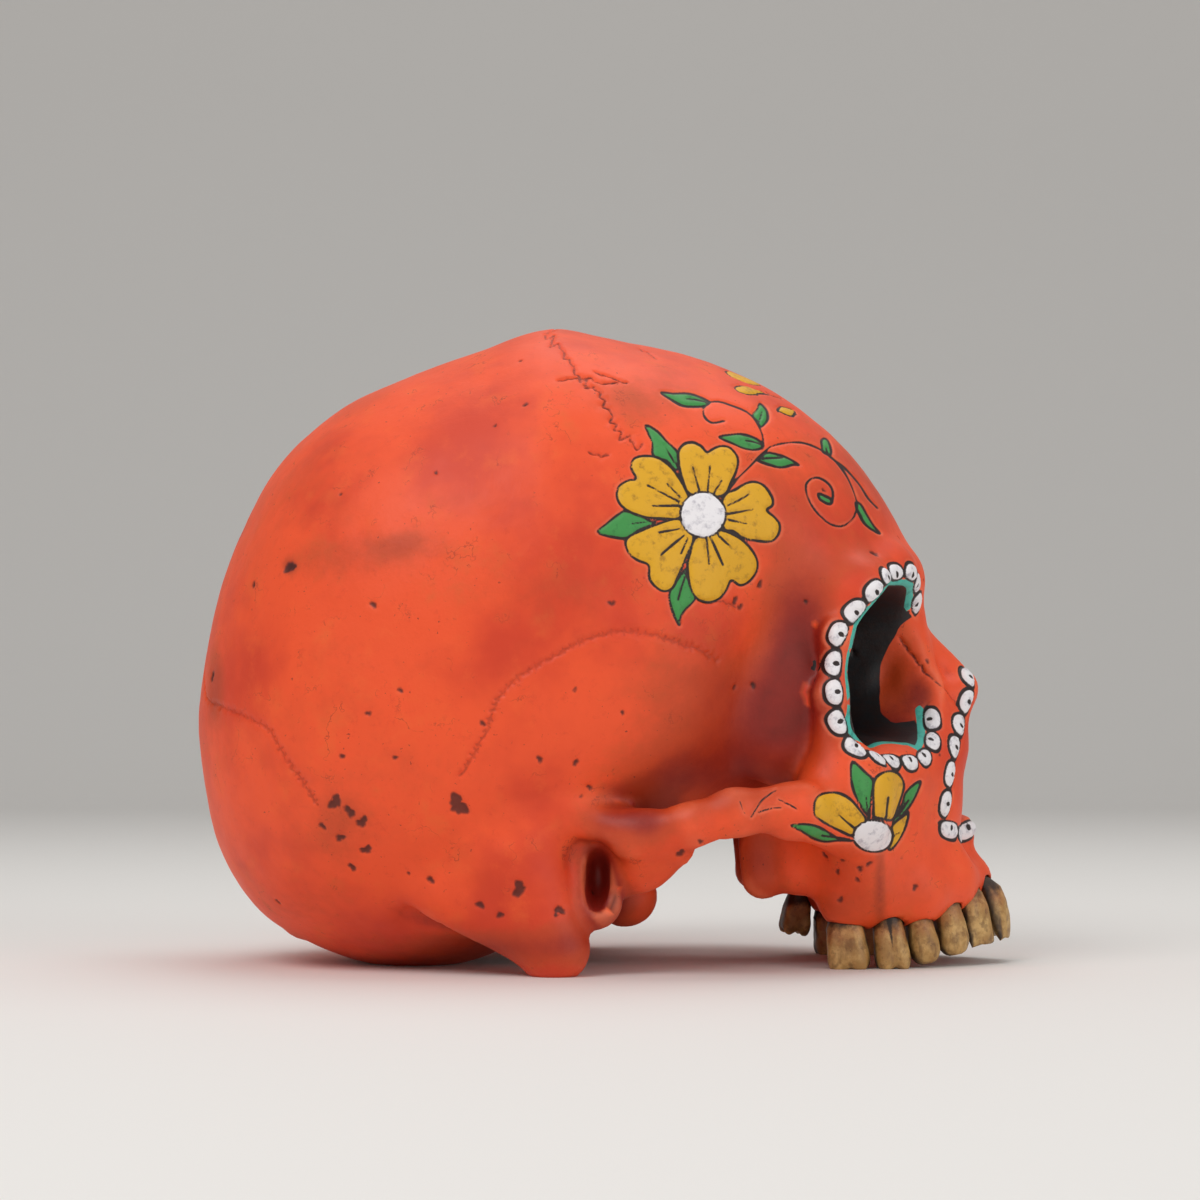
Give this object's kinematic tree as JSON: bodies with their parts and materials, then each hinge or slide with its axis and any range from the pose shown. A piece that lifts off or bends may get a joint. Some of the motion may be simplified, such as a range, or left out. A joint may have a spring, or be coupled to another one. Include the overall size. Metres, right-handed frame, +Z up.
{
  "type": "sugar skull ornament",
  "caption": "Life-size skull ornament without its lower jaw: a hollow cast head with open eye sockets, cheek arches and a neck hole, and upper teeth set in their own sockets.",
  "frame": {"origin": "on the table, under the middle of the whole skull's box", "axes": "+X out of the face, +Y to the skull's own left, +Z up from the table it rests on"},
  "size_m": [0.2014, 0.1386, 0.157],
  "materials": {
    "resin": "hand painted, satin",
    "tooth": "ochre with dark wash, satin"
  },
  "bodies": {
    "root": {"cranium": "resin", "central_incisor_right": "tooth", "lateral_incisor_right": "tooth", "canine_right": "tooth", "premolar_right": "tooth", "first_molar_right": "tooth", "second_molar_right": "tooth", "central_incisor_left": "tooth", "lateral_incisor_left": "tooth", "canine_left": "tooth", "premolar_left": "tooth", "first_molar_left": "tooth", "second_molar_left": "tooth", "third_molar_left": "tooth"}
  },
  "joints": []
}
